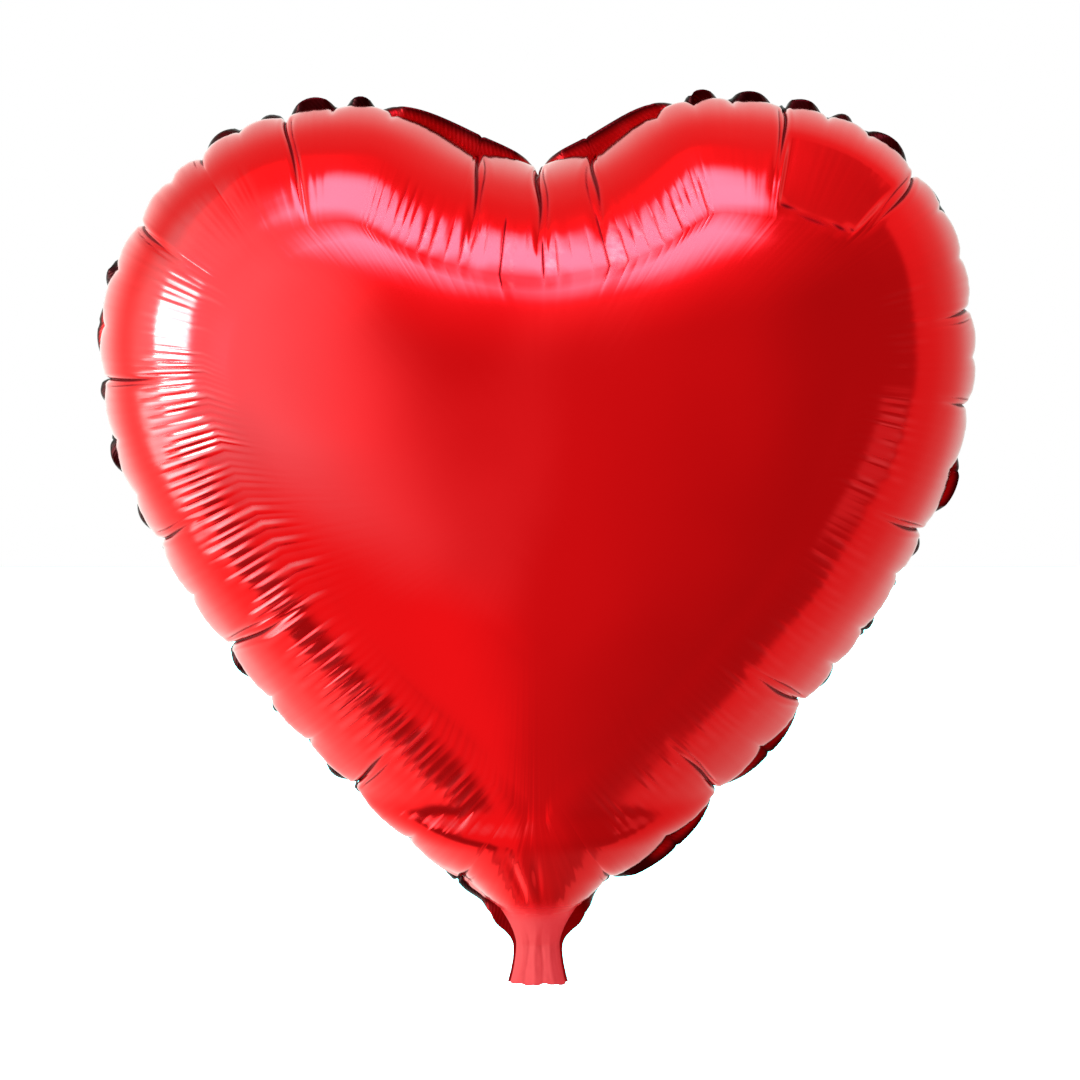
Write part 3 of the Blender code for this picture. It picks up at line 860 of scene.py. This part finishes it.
def filmFinish():
    material, f = newFinish("red metallised film")
    place = f.node("ShaderNodeTexCoord", {}, {}, out=3)
    uv = f.node("ShaderNodeUVMap", {"uv_map": "film"}, {})
    creaseShade, gather, pale, haze = (f.attribute(name) for name in ("creaseShade", "gather", "pale", "haze"))
    cloud = f.node("ShaderNodeTexNoise", {}, {"Vector": place, "Scale": 11.0, "Detail": 2.0})
    grain = f.node("ShaderNodeTexNoise", {}, {"Vector": place, "Scale": 260.0, "Detail": 3.0})
    uneven = {"Vector": place, "Scale": 70.0, "Detail": 2.0, "Distortion": 0.6}
    crinkle = f.node("ShaderNodeTexNoise", {}, uneven)
    # Faint lines across the web of film, and hair creases that leave the seam
    rolled = f.node("ShaderNodeMapping", {}, {"Vector": place, "Scale": (4.0, 4.0, 210.0)})
    lines = f.node("ShaderNodeTexNoise", {}, {"Vector": rolled, "Scale": 1.0, "Detail": 3.0})
    drawn = f.node("ShaderNodeMapping", {}, {"Vector": uv, "Scale": (900.0, 46.0, 1.0)})
    hairs = f.node("ShaderNodeTexNoise", {}, {"Vector": drawn, "Scale": 1.0, "Detail": 2.0})
    worn = f.limit(grain * gather, 0.40, 0.60)
    colour = f.mix(f.limit(cloud, 0.35, 0.65), filmLook["red"], filmLook["deepRed"])
    colour = f.mix(worn * 0.25, colour, filmLook["scuff"])
    # Painted highlight: ridge crests lightened towards pink
    colour = f.mix(pale * 0.7, colour, filmLook["crestGlint"])
    colour = f.mix(haze, colour, filmLook["hazy"])
    # Painted shade: along crease lines the colour turns dark red and the metal and coat give way
    creaseShadeAmount = f.ease(creaseShade, 0.22, 0.62)
    colour = f.mix(creaseShadeAmount, colour, filmLook["creaseShadeRed"])
    roughness = filmLook["roughness"] + 0.04 * f.limit(cloud, 0.3, 0.7) + 0.12 * creaseShade + 0.40 * haze
    height = 0.10 * crinkle + 0.020 * lines + 0.14 * hairs * gather + 0.02 * grain
    bump = f.node("ShaderNodeBump", {}, {"Strength": 0.14, "Distance": 0.001, "Height": height})
    shader = f.node("ShaderNodeBsdfPrincipled", {}, {
        "Base Color": colour, "Roughness": roughness, "Normal": bump,
        "Metallic": (1.0 - 0.7 * creaseShadeAmount) * (1.0 - haze), "Specular IOR Level": 0.0,
        "Coat Weight": filmLook["coat"] * (1.0 - creaseShadeAmount) * (1.0 - haze), "Coat Roughness": 0.10, "Coat IOR": 1.50,
    })
    f.node("ShaderNodeOutputMaterial", {}, {"Surface": shader})
    return material


# The welded edge is the same red film: its near-black colours are painted shade, and its red is kept for faces
# taken as lit
edgeLook = {
    "paintedShade": (0.045, 0.0003, 0.0005, 1.0),
    "deepestShade": (0.012, 0.0002, 0.0003, 1.0),
    "red": (0.42, 0.0008, 0.0012, 1.0),
}


def marginFinish():
    material, f = newFinish("welded film edge")
    uv = f.node("ShaderNodeUVMap", {"uv_map": "film"}, {})
    place = f.node("ShaderNodeTexCoord", {}, {}, out=3)
    litRed, pinchShade = f.attribute("litRed"), f.attribute("pinchShade")
    cloud = f.node("ShaderNodeTexNoise", {}, {"Vector": place, "Scale": 60.0, "Detail": 3.0})
    slanting = {"bands_direction": "DIAGONAL"}
    crimp = f.node("ShaderNodeTexWave", slanting, {"Vector": uv, "Scale": 320.0, "Distortion": 0.4})
    # Painted shade over most of the edge, red where it is taken as lit, and deeper painted shade at the pinches
    colour = f.mix(f.limit(cloud, 0.35, 0.68), edgeLook["paintedShade"], edgeLook["deepestShade"])
    colour = f.mix(litRed, colour, edgeLook["red"])
    colour = f.mix(pinchShade * 0.7, colour, edgeLook["deepestShade"])
    height = crimp * 0.25 + cloud * 0.8
    bump = f.node("ShaderNodeBump", {}, {"Strength": 0.35, "Distance": 0.0006, "Height": height})
    shader = f.node("ShaderNodeBsdfPrincipled", {}, {
        "Base Color": colour, "Roughness": 0.26 + 0.15 * cloud, "Metallic": 1.0, "Normal": bump,
        "Specular IOR Level": 0.3,
    })
    f.node("ShaderNodeOutputMaterial", {}, {"Surface": shader})
    return material


def plyFinish():
    material, f = newFinish("clear valve film")
    place = f.node("ShaderNodeTexCoord", {}, {}, out=3)
    haze = f.node("ShaderNodeTexNoise", {}, {"Vector": place, "Scale": 420.0, "Detail": 2.0})
    colour = f.mix(f.limit(haze, 0.3, 0.7), (0.86, 0.80, 0.80, 1.0), (0.93, 0.88, 0.88, 1.0))
    bump = f.node("ShaderNodeBump", {}, {"Strength": 0.3, "Distance": 0.0004, "Height": haze})
    shader = f.node("ShaderNodeBsdfPrincipled", {}, {
        "Base Color": colour, "Roughness": 0.22 + 0.15 * haze, "Alpha": 0.40 + 0.25 * haze, "Normal": bump,
    })
    f.node("ShaderNodeOutputMaterial", {}, {"Surface": shader})
    return material


camera = {
    "elevation": math.radians(5.0), "lens": 120.0, "sensor": 36.0,
    "frameWide": 471.2 * mm, "aim": (0.9 * mm, 0.0, 178.5 * mm),
}


def addCamera():
    data = bpy.data.cameras.new("camera")
    data.lens = camera["lens"]
    data.sensor_width = camera["sensor"]
    away = camera["frameWide"] * camera["lens"] / data.sensor_width
    made = bpy.data.objects.new("camera", data)
    x, y, z = camera["aim"]
    made.location = (x, y - away * math.cos(camera["elevation"]), z + away * math.sin(camera["elevation"]))
    made.rotation_euler = (math.pi / 2 - camera["elevation"], 0.0, 0.0)
    bpy.context.scene.collection.objects.link(made)
    bpy.context.scene.camera = made


def addFloor():  # the balloon floats over it; it glows a little to stay pale, and gloss does not mirror it
    size, z = 14.0, tailLow.z - 1.15
    mesh = bpy.data.meshes.new("floor")
    corners = [(-size, -size, z), (size, -size, z), (size, size, z), (-size, size, z)]
    mesh.from_pydata(corners, [], [(0, 1, 2, 3)])
    material, f = newFinish("pale floor")
    shader = f.node("ShaderNodeBsdfPrincipled", {}, {
        "Base Color": (0.95, 0.95, 0.95, 1.0), "Roughness": 0.9,
        "Emission Color": (1.0, 1.0, 1.0, 1.0), "Emission Strength": 0.35,
    })
    f.node("ShaderNodeOutputMaterial", {}, {"Surface": shader})
    mesh.materials.append(material)
    made = bpy.data.objects.new("floor", mesh)
    made.visible_glossy = False
    bpy.context.scene.collection.objects.link(made)


studio = {  # brightness of the soft walls
    "front": 0.50, "frontRight": 0.26, "frontLeft": 0.55, "frontHigh": 0.42, "frontLow": 0.08,
    "gap": 0.62, "backLeft": 1.75, "backRight": 1.07, "backHigh": 1.28, "backTint": (0.80, 1.0, 0.95, 1.0),
}
panels = {  # four angles up and four round from the camera's side, in degrees, then brightness and tint
    "high": ((39, 50, 60, 73), (-42, -30, 16, 28), 64.0, (0.10, 0.80, 1.0, 1.0)),
    "strip": ((-4, 3, 14, 21), (-82, -77, -57, -52), 190.0, (0.1, 1.0, 0.85, 1.0)),
    "left": ((-36, -8, 30, 62), (-110, -75, -45, 2), 14.5, (0.0, 1.0, 0.90, 1.0)),
    "lowLeft": ((-36, -26, -12, -5), (-104, -92, -74, -60), 22.0, (0.3, 1.0, 0.95, 1.0)),
    "right": ((-34, -27, -10, -2), (54, 60, 68, 76), 1.2, (0.2, 1.0, 0.9, 1.0)),
}


def addSky():  # light from all round, worked out from the direction looked in
    world = bpy.data.worlds.new("studio")
    world.use_nodes = True
    bpy.context.scene.world = world
    f = Finish(world.node_tree)
    way = f.node("ShaderNodeTexCoord", {}, {}, out=0)
    x, y, z = (f.node("ShaderNodeSeparateXYZ", {}, {0: way}, out=k) for k in range(3))
    facing, leftward, below = 0.0 - y, 0.0 - x, 0.0 - z  # facing is 1 straight towards the camera's side
    toDegrees = 180.0 / math.pi
    around = f.node("ShaderNodeMath", {"operation": "ARCTAN2"}, {0: x, 1: facing}) * toDegrees
    up = f.node("ShaderNodeMath", {"operation": "ARCSINE"}, {0: z}) * toDegrees

    under = f.ease(below, 0.87, 0.97)                    # straight below is as dark as the front
    front = f.ease(facing - 0.14 * f.ease(x, 0.50, 0.90) + 0.45 * under, 0.05, 0.16)
    lower = f.ease(below, 0.05, 0.38)
    left = f.ease(leftward, -0.03, 0.34) * (1.0 - 0.30 * f.ease(leftward, 0.60, 0.85)) * (1.0 - 0.35 * lower)
    ahead = studio["front"] + studio["frontRight"] * f.ease(leftward, -0.75, 0.0) + studio["frontLeft"] * left
    above = f.ease(z, 0.25, 0.75) * (1.0 - 0.5 * f.ease(x, 0.10, 0.50))
    ahead = ahead + studio["frontHigh"] * above - studio["frontLow"] * f.ease(below, 0.45, 0.90)
    gap = f.ease(0.0 - facing, -0.46, -0.30) * f.ease(leftward, 0.30, 0.50) * f.ease(below, 0.04, 0.16)
    ahead = ahead * (1.0 - studio["gap"] * gap)
    sideways = f.ease(leftward, -0.45, 0.45)
    behind = studio["backRight"] + (studio["backLeft"] - studio["backRight"]) * sideways
    over = f.ease(z, 0.10, 0.60)
    behind = behind * (1.0 - over) + studio["backHigh"] * over
    walls = ahead * front + behind * (1.0 - front)
    wallTint = f.mix(front, studio["backTint"], (1.0, 1.0, 1.0, 1.0))
    shader = f.node("ShaderNodeBackground", {}, {"Color": wallTint, "Strength": walls})
    for upEdges, roundEdges, bright, tint in panels.values():
        lit = f.window(up, *upEdges) * f.window(around, *roundEdges) * bright
        glow = f.node("ShaderNodeBackground", {}, {"Color": tint, "Strength": lit})
        shader = f.node("ShaderNodeAddShader", {}, {0: shader, 1: glow})
    plain = f.node("ShaderNodeBackground", {}, {"Color": (1.0, 1.0, 1.0, 1.0), "Strength": 1.0})
    seen = f.node("ShaderNodeLightPath", {}, {})
    shown = f.node("ShaderNodeMixShader", {}, {0: seen, 1: shader, 2: plain})
    f.node("ShaderNodeOutputWorld", {}, {"Surface": shown})


# Putting it together

addCamera()
addFloor()
addSky()
bpy.context.scene.view_settings.view_transform = "Standard"
print("stage set")

filmMaterial = filmFinish()
marginMaterial = marginFinish()
plyMaterial = plyFinish()

rearZones = [(start, end, strength * (0.9 - 0.5 * comb), near, far, comb)   # fainter, above all the lines
             for start, end, strength, near, far, comb in gathered]
frontFilm = makeFilm("front_film", -1, 11, gathered, filmMaterial)
rearFilm = makeFilm("rear_film", 1, 47, rearZones, filmMaterial)
weldedMargin = makeMargin("welded_margin", marginMaterial)
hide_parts("front_panel", "tail_front")
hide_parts("rear_panel", "tail_rear")
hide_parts("seam_flange", "tail_seam_left", "tail_seam_right")
bendTo = (0.0, 0.0, foldZ - 7.5 * mm)
for piece in (frontFilm, rearFilm, weldedMargin):
    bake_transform(piece)

for side in ("front", "rear"):
    liner = makePly(f"{side}_valve_liner", f"valve_{side}_liner", plyMaterial, stick=2.4 * mm, seed=61)
    flap = makePly(f"{side}_valve_flap", f"valve_{side}_flap", plyMaterial, seed=62)
    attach(liner, "tail")
    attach(flap, f"valve_{side}")
print("valve made")
